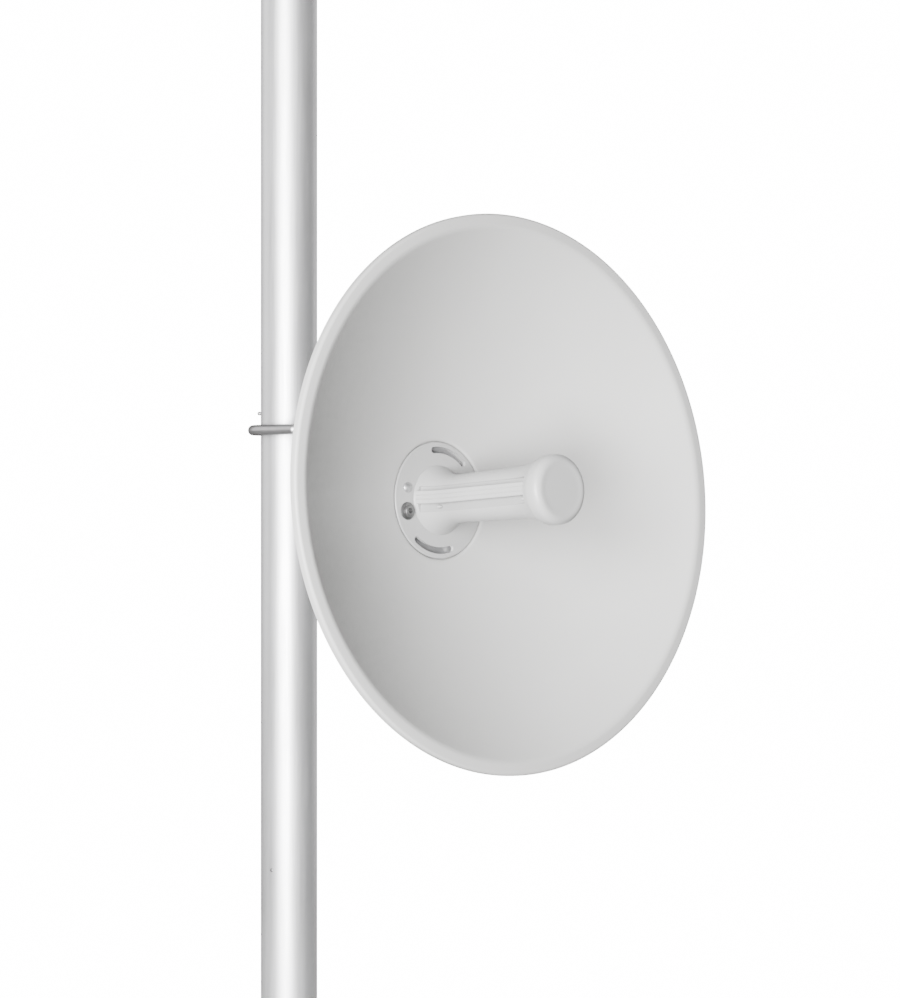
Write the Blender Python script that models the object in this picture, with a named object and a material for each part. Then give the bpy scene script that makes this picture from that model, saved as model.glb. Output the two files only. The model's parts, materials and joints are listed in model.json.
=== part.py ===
"""A wireless dish antenna clamped to an upright tube mast.

Metres, +Z up. The mast stands on the origin, and the dish looks along -Y and a little upward.
The clamp turns about the mast, and the head (bracket, dish, feed and radio) tilts on a cross bolt.
"""

import math

import bmesh
import bpy
from mathutils import Matrix, Vector
from mathutils.geometry import convex_hull_2d

# Mast: a 1 1/2 inch pipe size tube, cut at a metre
MAST_RADIUS = 0.02415
MAST_WALL = 0.0032
MAST_LENGTH = 1.0
MAST_END_THICKNESS = 0.004
MAST_STEM_DEPTH = 0.026
STUD_RADIUS = 0.0012
MAST_STUDS = {
    "upper": (0.5730, Vector((-0.739, 0.674, 0.0)), 0.0029),
    "lower": (0.1848, Vector((-0.977, -0.215, 0.0)), 0.0008),
}

# Where the head sits and looks at rest
DISH_ELEVATION = math.radians(3.5)
DISH_RADIUS = 0.225
RIM_CENTRE = Vector((0.0, -0.2775, 0.5043))
CLAMP_HEIGHT = 0.5586
PIVOT_REACH = 0.095
TILT_DOWN = math.radians(18.5)
TILT_UP = math.radians(16.5)

# Hub flange, with two curved slots (degrees clockwise from the top), let into the middle of the reflector
FLANGE_RADIUS = 0.0477
FLANGE_FACE = 0.0865
FLANGE_THICKNESS = 0.003
FLANGE_EDGE = 0.0012
SLOT_RADIUS = 0.0412
SLOT_HALF_WIDTH = 0.0027
SLOT_ARCS = ((-6.5, 41.5), (163.0, 217.5))
HUB_ROLL = 1.5

# Reflector: a seat for the flange, a shoulder, a parabola, a flat lip and a rolled edge
SEAT_RADIUS = 0.0482
SEAT_DEPTH = 0.0898
SHOULDER_RADIUS = 0.0513
SHOULDER_DEPTH = 0.0856
SHOULDER = ((0.0002, 0.0024), (0.0008, 0.0010), (0.0018, 0.0003))
BOWL_RADIUS = 0.2125
BOWL_EDGE_DEPTH = 0.0015
LIP_ROLL = 0.0038
SKIRT_DEPTH = 0.006
SHELL = 0.002
REFLECTOR_HOLE = 0.0446

# Feed tube: trumpet foot, slightly tapered barrel and flared cap
FEED_FOOT_RADIUS = 0.0286
FEED_WAIST_RADIUS = 0.0195
FEED_WAIST = -0.057
FEED_TAPER = 0.0239
FEED_FLARE = 0.0085
FEED_CAP_RADIUS = 0.0280
FEED_CAP = 0.0455
FEED_FRONT = 0.0580
FEED_CAP_ROUND = 0.006
FEED_ROLL = 4.6
STRIP_HALF_WIDTH = 0.0053
STRIP_PROUD = 0.0022
STRIP_SEAT = 0.0038
CHANNEL_TOP = 0.0092
CHANNEL_BOTTOM = -0.0118
CHANNEL_START = -0.0835
CHANNEL_END = 0.0395
CATCH_PLACES = {"rear": -0.0655, "front": 0.0360}
CATCH_DROP = 0.0080
CATCH_RADIUS = 0.0012
CATCH_STRETCH = 2.0
CATCH_PROUD = 0.0010

# Sheet metal, bolts and play
SHEET = 0.003
BEND = 0.002
GAP = 0.0003
RING_HOLE = 0.0313
RING_RADIUS = 0.052
RADIO_RADIUS = 0.030
RADIO_REAR = -0.1655
RADIO_FLAT = 0.0285
RADIO_FLAT_END = -0.1225
GLAND_PLACE = -0.1455
COVER_THICKNESS = 0.007
COVER_OVERHANG = 0.0015
ROD_RADIUS = 0.0045
ROD_SPACING = 0.0336
ROD_END = 0.020
ROD_WASHER_RADIUS = 0.0085
ROD_WASHER = 0.0016
POLE_CHEEK = 0.0445
WEB_REACH = 0.062
WEB_TOP = 0.011
WEB_BOTTOM = -0.0601
JAW_ANGLE = math.radians(25.0)
JAW_SIDE = ((0.0130, -0.0235), (0.034, -(WEB_REACH + SHEET / 2)))
JAW_PITCH = 0.0024
JAW_TOOTH = 0.0009
TILT_CHEEK = POLE_CHEEK + SHEET + GAP
TILT_PLATE_TOP = 0.060
TILT_PLATE_BOTTOM = -0.038
PIVOT_EAR = 0.015
LOCK_OFFSET = Vector((-0.010, -0.0387))
LOCK_EAR = 0.011
CHEEK_REACH = 0.030
CHEEK_FOOT = 0.010
ACROSS = 0.060
OVERCUT = 0.001

# Fasteners: shank radius, then a nut or a head as (across flats, height, collar radius)
PIVOT_BOLT_RADIUS = 0.004
LOCK_BOLT_RADIUS = 0.003
HUB_BOLT_RADIUS = 0.0025
COLLAR = 0.0012
ROD_NUT = (0.013, 0.0075, 0.0068)
PIVOT_HEAD = (0.013, 0.0065, 0.0078)
PIVOT_NUT = (0.013, 0.008, 0.0078)
LOCK_NUT = (0.010, 0.0062, 0.0072)
HUB_NUT = (0.008, 0.0042, 0.0047)
GROUNDING_HEAD = (0.008, 0.0045, 0.0055)
GROUNDING_PLACE = (0.032, 0.042)
PIVOT_THREAD = 0.012
LOCK_THREAD = 0.009
HUB_THREAD = 0.005

# Round heads as (radius, height) from the seat's edge to the middle, and the hub bolts' (radius, angle)
LOCK_HEAD = [(0.0065, 0), (0.0058, 0.0018), (0.0036, 0.0030), (0, 0.0034)]
HUB_HEADS = {
    "upper": [(0.0041, 0), (0.0041, 0.0008), (0.0033, 0.0018), (0.0018, 0.0024), (0, 0.0026)],
    "lower": [(0.0072, 0), (0.0072, 0.0010), (0.0046, 0.0010), (0.0046, 0.0034), (0.0038, 0.0040),
              (0, 0.0040)],
}
HUB_BOLTS = {"upper": (0.0361, 15.3), "lower": (0.0366, -15.3)}

# Cable gland as (radius, height) rings round its bore, with a hexagon between the second and the third
GLAND_FOOT = 0.0085
GLAND_HEXAGON = 0.015
GLAND_RINGS = ((0.0068, 0.007), (0.0068, 0.014), (0.0052, 0.0165), (0.0034, 0.0165), (0.0034, 0.006))

# How finely round pieces are faceted
DISH_STEPS = 96
ROUND_STEPS = 48
SMALL_STEPS = 18
SHARP_ANGLE = math.radians(32.0)
MERGE = 1e-6

# Colour, roughness and metallic value
FINISHES = {
    "mast": ((0.78, 0.78, 0.79), 0.32, 1.0),
    "zinc": ((0.50, 0.50, 0.51), 0.42, 1.0),
    "dark_steel": ((0.28, 0.28, 0.28), 0.38, 1.0),
    "white_paint": ((0.66, 0.66, 0.65), 0.48, 0.0),
    "white_plastic": ((0.70, 0.70, 0.70), 0.36, 0.0),
    "black_plastic": ((0.05, 0.05, 0.05), 0.50, 0.0),
}


def clear_scene():
    for obj in list(bpy.data.objects):
        bpy.data.objects.remove(obj, do_unlink=True)


def finish_for(name, finish):
    colour, roughness, metallic = FINISHES[finish]
    material = bpy.data.materials.new(name + "_finish")
    material.use_nodes = True
    shader = material.node_tree.nodes["Principled BSDF"]
    shader.inputs["Base Color"].default_value = (*colour, 1.0)
    shader.inputs["Roughness"].default_value = roughness
    shader.inputs["Metallic"].default_value = metallic
    return material


def add_axis(name, location, rotation=(0.0, 0.0, 0.0), parent=None):
    """An empty that carries the pieces of one frame."""
    empty = bpy.data.objects.new(name, None)
    empty.location = location
    empty.rotation_euler = rotation
    empty.parent = parent
    bpy.context.scene.collection.objects.link(empty)
    return empty


def link_mesh(name, bm, parent, matrix):
    bmesh.ops.remove_doubles(bm, verts=bm.verts, dist=MERGE)
    bmesh.ops.recalc_face_normals(bm, faces=bm.faces)
    mesh = bpy.data.meshes.new(name)
    bm.to_mesh(mesh)
    bm.free()
    obj = bpy.data.objects.new(name, mesh)
    obj.parent = parent
    obj.matrix_local = matrix
    bpy.context.scene.collection.objects.link(obj)
    return obj


def add_piece(name, bm, finish, parent, matrix=Matrix()):
    """A visible sub-part made from the mesh in bm."""
    obj = link_mesh(name, bm, parent, matrix)
    obj.data.shade_smooth()
    obj.data.set_sharp_from_angle(angle=SHARP_ANGLE)
    obj.data.materials.append(finish_for(name, finish))
    return obj


def combine(obj, operation, bm, parent, matrix=Matrix()):
    """Cuts, joins or intersects a piece with a hidden helper solid."""
    helper = link_mesh(f"{obj.name}_helper_{len(obj.modifiers)}", bm, parent, matrix)
    helper.hide_render = True
    helper.hide_set(True)
    helper.display_type = "WIRE"
    modifier = obj.modifiers.new(helper.name, "BOOLEAN")
    modifier.operation = operation
    modifier.solver = "EXACT"
    modifier.object = helper


def turned(profile, steps=ROUND_STEPS):
    """A solid of revolution about Z from (radius, height) points, or a ring where none is on the axis."""
    bm = bmesh.new()
    verts = [bm.verts.new((radius, 0.0, height)) for radius, height in profile]
    edges = [bm.edges.new(pair) for pair in zip(verts, verts[1:])]
    if profile[0][0] > 0.0:
        edges.append(bm.edges.new((verts[-1], verts[0])))
    geom = verts + edges
    bmesh.ops.spin(bm, geom=geom, cent=(0, 0, 0), axis=(0, 0, 1), angle=math.tau, steps=steps)
    return bm


def prism(outline, start, end, axis="Z"):
    """Pushes a flat outline of (u, v) points from start to end along an axis."""
    place = {
        "X": lambda u, v, w: (w, u, v),
        "Y": lambda u, v, w: (u, w, v),
        "Z": lambda u, v, w: (u, v, w),
    }[axis]
    bm = bmesh.new()
    face = bm.faces.new([bm.verts.new(place(u, v, start)) for u, v in outline])
    pushed = bmesh.ops.extrude_face_region(bm, geom=[face])["geom"]
    moved = [item for item in pushed if isinstance(item, bmesh.types.BMVert)]
    bmesh.ops.translate(bm, verts=moved, vec=Vector(place(0.0, 0.0, end - start)))
    return bm


def loft(rings, closed=False):
    """Skins equal rings of points, either end to end with caps or round into a ring."""
    bm = bmesh.new()
    rows = [[bm.verts.new(point) for point in ring] for ring in rings]
    pairs = list(zip(rows, rows[1:]))
    if closed:
        pairs.append((rows[-1], rows[0]))
    for lower, upper in pairs:
        for index in range(len(lower)):
            follow = (index + 1) % len(lower)
            bm.faces.new((lower[index], lower[follow], upper[follow], upper[index]))
    if not closed:
        bm.faces.new(rows[0])
        bm.faces.new(rows[-1])
    return bm


def circle_points(centre, radius, steps=SMALL_STEPS):
    turn = math.tau / steps
    return [
        (centre[0] + radius * math.cos(index * turn), centre[1] + radius * math.sin(index * turn))
        for index in range(steps)
    ]


def hull(points):
    return [points[index] for index in convex_hull_2d([Vector(point) for point in points])]


def arc_points(centre, radius, start, end, steps):
    """Points on an arc, with the angles in degrees."""
    angles = [math.radians(start + (end - start) * index / steps) for index in range(steps + 1)]
    return [(centre[0] + radius * math.cos(a), centre[1] + radius * math.sin(a)) for a in angles]


def curved_slot(centre, reach, half, low, high, steps):
    """The outline of a slot along an arc from low to high degrees, with round ends."""
    ends = [arc_points(centre, reach, angle, angle, 1)[0] for angle in (low, high)]
    outline = arc_points(centre, reach + half, low, high, steps)
    outline += arc_points(ends[1], half, high, high + 180, 6)[1:-1]
    outline += arc_points(centre, reach - half, high, low, steps)
    outline += arc_points(ends[0], half, low + 180, low + 360, 6)[1:-1]
    return outline


def round_ring(radius, height, steps=SMALL_STEPS):
    return [
        Vector((radius * math.cos(math.tau * i / steps), radius * math.sin(math.tau * i / steps), height))
        for i in range(steps)
    ]


def hex_ring(across_flats, height, steps=SMALL_STEPS):
    """A hexagon drawn with as many points as round_ring, so that the two can be lofted."""
    points = []
    for index in range(steps):
        angle = math.tau * index / steps
        from_flat = angle % (math.tau / 6) - math.tau / 12
        radius = across_flats / 2 / math.cos(from_flat)
        points.append(Vector((radius * math.cos(angle), radius * math.sin(angle), height)))
    return points


def collared_hexagon(size):
    """The rings of a hexagon that stands on z = 0 on a collar like a washer."""
    across_flats, height, collar = size
    return [
        round_ring(collar, 0.0),
        round_ring(collar, COLLAR),
        hex_ring(across_flats, COLLAR),
        hex_ring(across_flats, height),
    ]


def hex_nut(bore, size):
    return loft([round_ring(bore, 0.0)] + collared_hexagon(size) + [round_ring(bore, size[1])], closed=True)


def hex_bolt(shank, length, size):
    """A bolt whose head's seat is z = 0 and whose shank runs down from it."""
    return loft([round_ring(shank, -length), round_ring(shank, 0.0)] + collared_hexagon(size))


def facing(direction, location):
    """A placement whose Z runs along the given direction."""
    turn = Vector((0.0, 0.0, 1.0)).rotation_difference(Vector(direction))
    return Matrix.Translation(Vector(location)) @ turn.to_matrix().to_4x4()


def add_mast(root):
    inner = MAST_RADIUS - MAST_WALL
    bottom = MAST_END_THICKNESS + GAP
    top = MAST_LENGTH - bottom
    tube = add_piece(
        "mast_tube",
        turned([(inner, bottom), (MAST_RADIUS, bottom), (MAST_RADIUS, top), (inner, top)], 48),
        "mast",
        root,
    )
    stem = inner - GAP
    add_piece(
        "mast_foot_plug",
        turned(
            [(0, 0), (MAST_RADIUS, 0), (MAST_RADIUS, MAST_END_THICKNESS), (stem, MAST_END_THICKNESS),
             (stem, MAST_STEM_DEPTH), (0, MAST_STEM_DEPTH)]
        ),
        "mast",
        root,
    )
    edge = 0.0015
    add_piece(
        "mast_top_cap",
        turned(
            [(0, MAST_LENGTH - MAST_STEM_DEPTH), (stem, MAST_LENGTH - MAST_STEM_DEPTH),
             (stem, MAST_LENGTH - MAST_END_THICKNESS), (MAST_RADIUS, MAST_LENGTH - MAST_END_THICKNESS),
             (MAST_RADIUS, MAST_LENGTH - edge), (MAST_RADIUS - edge, MAST_LENGTH), (0, MAST_LENGTH)]
        ),
        "black_plastic",
        root,
    )
    for name, (height, direction, proud) in MAST_STUDS.items():
        add_mast_stud(tube, name, facing(direction, (0.0, 0.0, height)), proud, root)


def add_mast_stud(tube, name, place, proud, root):
    """A small rivet in a drilled hole, standing a little proud of the mast."""
    inside = MAST_RADIUS - MAST_WALL
    end = MAST_RADIUS + proud
    rivet = turned(
        [(0, inside), (STUD_RADIUS, inside), (STUD_RADIUS, end - STUD_RADIUS / 2),
         (STUD_RADIUS / 2, end), (0, end)],
        12,
    )
    add_piece(f"mast_stud_{name}", rivet, "dark_steel", root, place)
    hole = STUD_RADIUS + GAP
    drill = turned([(0, inside / 2), (hole, inside / 2), (hole, 2 * MAST_RADIUS), (0, 2 * MAST_RADIUS)], 12)
    combine(tube, "DIFFERENCE", drill, root, place)


def add_u_bolt(clamp):
    """The bolt hugs the far side of the mast, and its legs run to the bracket's web."""
    bend_offset = MAST_RADIUS + GAP + ROD_RADIUS - ROD_SPACING
    leg_end = -(WEB_REACH + ROD_END)
    points = [(ROD_SPACING, leg_end), (ROD_SPACING, bend_offset)]
    points += arc_points((0.0, bend_offset), ROD_SPACING, 0.0, 180.0, 24)[1:-1]
    points += [(-ROD_SPACING, bend_offset), (-ROD_SPACING, leg_end)]
    curve = bpy.data.curves.new("u_bolt", "CURVE")
    curve.dimensions = "3D"
    curve.bevel_depth = ROD_RADIUS
    curve.bevel_resolution = 4
    curve.use_fill_caps = True
    spline = curve.splines.new("POLY")
    spline.points.add(len(points) - 1)
    for point, (x, y) in zip(spline.points, points):
        point.co = (x, y, 0.0, 1.0)
    obj = bpy.data.objects.new("u_bolt", curve)
    obj.parent = clamp
    curve.materials.append(finish_for("u_bolt", "zinc"))
    bpy.context.scene.collection.objects.link(obj)

    bore = ROD_RADIUS + GAP
    seat = WEB_REACH + SHEET + GAP
    for side, sign in (("left", -1), ("right", 1)):
        place = facing((0, -1, 0), (sign * ROD_SPACING, -seat, 0.0))
        outline = [(bore, 0), (ROD_WASHER_RADIUS, 0), (ROD_WASHER_RADIUS, ROD_WASHER), (bore, ROD_WASHER)]
        add_piece(f"u_bolt_washer_{side}", turned(outline, SMALL_STEPS), "zinc", clamp, place)
        place = facing((0, -1, 0), (sign * ROD_SPACING, -(seat + ROD_WASHER + GAP), 0.0))
        add_piece(f"u_bolt_nut_{side}", hex_nut(bore, ROD_NUT), "zinc", clamp, place)


def channel_outline(cheek, web, reach):
    """A bent sheet seen from its end: a web at v = web and two cheeks running to v = reach."""
    outer = cheek + SHEET
    bend_out = SHEET + BEND
    turn = 1 if reach > web else -1
    corner = web + turn * bend_out
    start = 180.0
    right_out = arc_points((outer - bend_out, corner), bend_out, 0.0, -turn * 90.0, 5)
    left_out = arc_points((-(outer - bend_out), corner), bend_out, -turn * 90.0, -turn * start, 5)
    left_in = arc_points((-(cheek - BEND), corner), BEND, -turn * start, -turn * 90.0, 5)
    right_in = arc_points((cheek - BEND, corner), BEND, -turn * 90.0, 0.0, 5)
    return (
        [(outer, reach)] + right_out + left_out + [(-outer, reach), (-cheek, reach)]
        + left_in + right_in + [(cheek, reach)]
    )


def jaw_outline():
    """A jaw plate: a toothed V that bears on the mast, widening to the web."""
    bearing = MAST_RADIUS + GAP
    apex = bearing / math.cos(JAW_ANGLE)
    along = Vector((math.cos(JAW_ANGLE), math.sin(JAW_ANGLE)))
    inward = Vector((math.sin(JAW_ANGLE), -math.cos(JAW_ANGLE)))
    tip = bearing * math.tan(JAW_ANGLE) + JAW_PITCH / 2
    teeth = []
    for index in range(6, -1, -1):
        reach = tip - index * JAW_PITCH
        teeth.append(Vector((0.0, -apex)) + along * (reach - JAW_PITCH / 2) + inward * JAW_TOOTH)
        teeth.append(Vector((0.0, -apex)) + along * reach)
    side = [tuple(point) for point in teeth if point.x > 0.0005] + list(JAW_SIDE)
    return [(-x, y) for x, y in reversed(side)] + side


def add_pole_bracket(clamp):
    """A bent channel with two toothed jaws at the mast and two cheeks that hold the tilt bolt."""
    pivot = (-PIVOT_REACH, 0.0)
    lock = (pivot[0] + LOCK_OFFSET.x, pivot[1] + LOCK_OFFSET.y)
    outline = channel_outline(POLE_CHEEK, -WEB_REACH, -(PIVOT_REACH + CHEEK_REACH))
    bracket = add_piece("pole_bracket", prism(outline, WEB_BOTTOM - SHEET, WEB_TOP + SHEET), "zinc", clamp)
    back = -(WEB_REACH - SHEET)
    side = hull(
        circle_points(pivot, WEB_TOP) + circle_points(lock, LOCK_EAR)
        + [(back, WEB_TOP), (back, WEB_BOTTOM), (back - CHEEK_FOOT, WEB_BOTTOM)]
    )
    combine(bracket, "INTERSECT", prism(side, -ACROSS, ACROSS, "X"), clamp)
    for low in (-ROD_RADIUS - GAP - SHEET, WEB_BOTTOM):
        combine(bracket, "UNION", prism(jaw_outline(), low, low + SHEET), clamp)
    for sign in (-1, 1):
        hole = circle_points((sign * ROD_SPACING, 0.0), ROD_RADIUS + GAP)
        drill = prism(hole, -(WEB_REACH + 2 * SHEET), -(WEB_REACH - SHEET), "Y")
        combine(bracket, "DIFFERENCE", drill, clamp)
    for centre, radius in ((pivot, PIVOT_BOLT_RADIUS), (lock, LOCK_BOLT_RADIUS)):
        hole = circle_points(centre, radius + GAP)
        combine(bracket, "DIFFERENCE", prism(hole, -ACROSS, ACROSS, "X"), clamp)

    outside = TILT_CHEEK + SHEET + GAP
    place = facing((-1, 0, 0), (-outside, -PIVOT_REACH, 0.0))
    bolt = hex_bolt(PIVOT_BOLT_RADIUS, 2 * outside + PIVOT_THREAD, PIVOT_HEAD)
    add_piece("pivot_bolt", bolt, "zinc", clamp, place)
    place = facing((1, 0, 0), (outside, -PIVOT_REACH, 0.0))
    add_piece("pivot_nut", hex_nut(PIVOT_BOLT_RADIUS + GAP, PIVOT_NUT), "zinc", clamp, place)
    for side_name, sign in (("left", -1), ("right", 1)):
        inside = POLE_CHEEK - GAP
        length = outside - inside + LOCK_THREAD
        place = facing((-sign, 0, 0), (sign * inside, lock[0], lock[1]))
        profile = [(0, -length), (LOCK_BOLT_RADIUS, -length), (LOCK_BOLT_RADIUS, 0)] + LOCK_HEAD
        add_piece(f"lock_bolt_{side_name}", turned(profile, SMALL_STEPS), "zinc", clamp, place)
        place = facing((sign, 0, 0), (sign * outside, lock[0], lock[1]))
        nut = hex_nut(LOCK_BOLT_RADIUS + GAP, LOCK_NUT)
        add_piece(f"lock_nut_{side_name}", nut, "zinc", clamp, place)


def reflector_profile():
    """(radius, height) round the shell's section: front face outward, then back along the rear face."""
    rise = (SHOULDER_DEPTH - BOWL_EDGE_DEPTH) / (BOWL_RADIUS**2 - SHOULDER_RADIUS**2)

    def bowl(radius):
        return -SHOULDER_DEPTH + rise * (radius**2 - SHOULDER_RADIUS**2)

    rings = 9
    step = (BOWL_RADIUS - SHOULDER_RADIUS) / rings
    radii = [SHOULDER_RADIUS + step * index for index in range(rings + 1)]
    front = [(REFLECTOR_HOLE, -SEAT_DEPTH), (SEAT_RADIUS, -SEAT_DEPTH)]
    front += [(SEAT_RADIUS + out, -SHOULDER_DEPTH - drop) for out, drop in SHOULDER]
    front += [(radius, bowl(radius)) for radius in radii]
    roll_centre = (DISH_RADIUS - LIP_ROLL, -LIP_ROLL)
    front += [(BOWL_RADIUS + 0.0012, -0.0003), (BOWL_RADIUS + 0.0026, 0.0)]
    front += arc_points(roll_centre, LIP_ROLL, 90.0, 0.0, 4)
    front += [(DISH_RADIUS, -SKIRT_DEPTH), (DISH_RADIUS - SHELL, -SKIRT_DEPTH)]
    back = arc_points(roll_centre, LIP_ROLL - SHELL, 0.0, 90.0, 3)
    back += [(BOWL_RADIUS + 0.0030, -SHELL)]
    back += [(radius + 0.0010, bowl(radius) - SHELL) for radius in reversed(radii[1::2])]
    back += [(SHOULDER_RADIUS + SHELL, bowl(SHOULDER_RADIUS) - SHELL)]
    back += [(SEAT_RADIUS + SHELL, -SEAT_DEPTH - SHELL), (REFLECTOR_HOLE, -SEAT_DEPTH - SHELL)]
    return front + back


def hub_bolt_places():
    """Name, side, x and y of the four through bolts, seen from the front."""
    for side, sign in (("left", -1), ("right", 1)):
        for level, (radius, angle) in HUB_BOLTS.items():
            turn = math.radians(angle - sign * HUB_ROLL)
            yield level, side, sign * radius * math.cos(turn), radius * math.sin(turn)


def add_hub(dish):
    back = -FLANGE_FACE - FLANGE_THICKNESS
    flange = add_piece(
        "hub_flange",
        turned(
            [(0, back), (FLANGE_RADIUS, back)]
            + arc_points((FLANGE_RADIUS - FLANGE_EDGE, -FLANGE_FACE - FLANGE_EDGE), FLANGE_EDGE, 0.0, 90.0, 3)
            + [(0, -FLANGE_FACE)],
            DISH_STEPS,
        ),
        "white_plastic",
        dish,
    )
    low, high = back - OVERCUT, -FLANGE_FACE + OVERCUT
    for start, end in SLOT_ARCS:
        from_right = (90 - HUB_ROLL - end, 90 - HUB_ROLL - start)
        slot = curved_slot((0, 0), SLOT_RADIUS, SLOT_HALF_WIDTH, *from_right, 12)
        combine(flange, "DIFFERENCE", prism(slot, low, high), dish)
    ring_front = -SEAT_DEPTH - SHELL - GAP
    ring_back = ring_front - SHEET
    ring = add_piece(
        "mounting_ring",
        turned(
            [(RING_HOLE, ring_back), (RING_RADIUS, ring_back), (RING_RADIUS, ring_front),
             (RING_HOLE, ring_front)],
        ),
        "zinc",
        dish,
    )
    for level, side, x, y in hub_bolt_places():
        for piece in (flange, ring):
            hole = circle_points((x, y), HUB_BOLT_RADIUS + GAP, 12)
            combine(piece, "DIFFERENCE", prism(hole, ring_back - OVERCUT, high), dish)
        nut_seat = ring_back - GAP - SHEET - GAP
        length = -FLANGE_FACE + GAP - nut_seat + HUB_THREAD
        place = Matrix.Translation((x, y, -FLANGE_FACE + GAP))
        profile = [(0, -length), (HUB_BOLT_RADIUS, -length), (HUB_BOLT_RADIUS, 0)] + HUB_HEADS[level]
        add_piece(f"hub_bolt_{level}_{side}", turned(profile, SMALL_STEPS), "dark_steel", dish, place)
        place = facing((0, 0, -1), (x, y, nut_seat))
        add_piece(f"hub_nut_{level}_{side}", hex_nut(HUB_BOLT_RADIUS + GAP, HUB_NUT), "zinc", dish, place)
    return ring_back


def feed_barrel(height):
    """Radius of the plain barrel, which opens slightly toward the front."""
    return FEED_WAIST_RADIUS + FEED_TAPER * (height - FEED_WAIST)


def feed_radius(height):
    """Radius of the feed tube: a trumpet foot, the barrel, and a cove that flares to the cap."""
    if height < FEED_WAIST:
        along = (height + FLANGE_FACE) / (FEED_WAIST + FLANGE_FACE)
        return FEED_WAIST_RADIUS + (FEED_FOOT_RADIUS - FEED_WAIST_RADIUS) * (1 - along) ** 2.6
    if height < FEED_FLARE:
        return feed_barrel(height)
    along = min(1.0, (height - FEED_FLARE) / (FEED_CAP - FEED_FLARE))
    start = feed_barrel(FEED_FLARE)
    return start + (FEED_CAP_RADIUS - start) * along**2.3


def channel_line(sign, proud, start, end):
    """Points along one side of the foot and the barrel, standing proud of them by a set amount."""
    heights = [start + (FEED_WAIST - start) * index / 5 for index in range(5)] + [FEED_WAIST, end]
    return [(sign * (max(feed_radius(min(height, FEED_WAIST)), feed_barrel(height)) + proud), height)
            for height in heights]


def add_feed(dish):
    foot = -FLANGE_FACE + GAP
    heights = [foot + (FEED_WAIST - foot) * index / 7 for index in range(7)]
    heights += [FEED_WAIST, FEED_FLARE]
    heights += [FEED_FLARE + (FEED_CAP - FEED_FLARE) * index / 7 for index in range(1, 8)]
    profile = [(0, foot)] + [(feed_radius(height), height) for height in heights]
    profile += arc_points(
        (FEED_CAP_RADIUS - FEED_CAP_ROUND, FEED_FRONT - FEED_CAP_ROUND), FEED_CAP_ROUND, 0.0, 90.0, 5
    )
    profile += [(0, FEED_FRONT)]
    tube = add_piece("feed_tube", turned(profile), "white_plastic", dish)
    roll = Matrix.Rotation(-math.radians(FEED_ROLL), 4, "Z")
    for side, sign in (("left", -1), ("right", 1)):
        floor = channel_line(sign, -STRIP_SEAT, CHANNEL_START, CHANNEL_END)
        outside = sign * (FEED_FOOT_RADIUS + OVERCUT)
        channel = prism(floor + [(outside, CHANNEL_END), (outside, CHANNEL_START)],
                        CHANNEL_BOTTOM, CHANNEL_TOP, "Y")
        combine(tube, "DIFFERENCE", channel, dish, roll)
        seat = channel_line(sign, GAP - STRIP_SEAT, CHANNEL_START + GAP, CHANNEL_END - GAP)
        face = channel_line(sign, STRIP_PROUD, CHANNEL_START + GAP, CHANNEL_END - GAP)
        strip = prism(seat + face[::-1], -STRIP_HALF_WIDTH, STRIP_HALF_WIDTH, "Y")
        add_piece(f"seam_strip_{side}", strip, "white_plastic", dish, roll)
        for end_name, height in CATCH_PLACES.items():
            rear = height - CATCH_STRETCH * CATCH_RADIUS
            foot = channel_line(1, 2 * GAP - STRIP_SEAT, rear, CHANNEL_END)[0][0]
            rise = feed_barrel(height) + CATCH_PROUD - foot
            catch = turned(
                [(0, 0), (CATCH_RADIUS, 0), (CATCH_RADIUS, rise - 0.75 * CATCH_RADIUS),
                 (0.6 * CATCH_RADIUS, rise - 0.2 * CATCH_RADIUS), (0, rise)],
                10,
            )
            for vert in catch.verts:
                vert.co.x *= CATCH_STRETCH
            turn = Matrix.Rotation(sign * math.pi / 2, 4, "Y")
            place = roll @ Matrix.Translation((sign * foot, -CATCH_DROP, height)) @ turn
            add_piece(f"feed_catch_{end_name}_{side}", catch, "white_plastic", dish, place)


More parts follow.
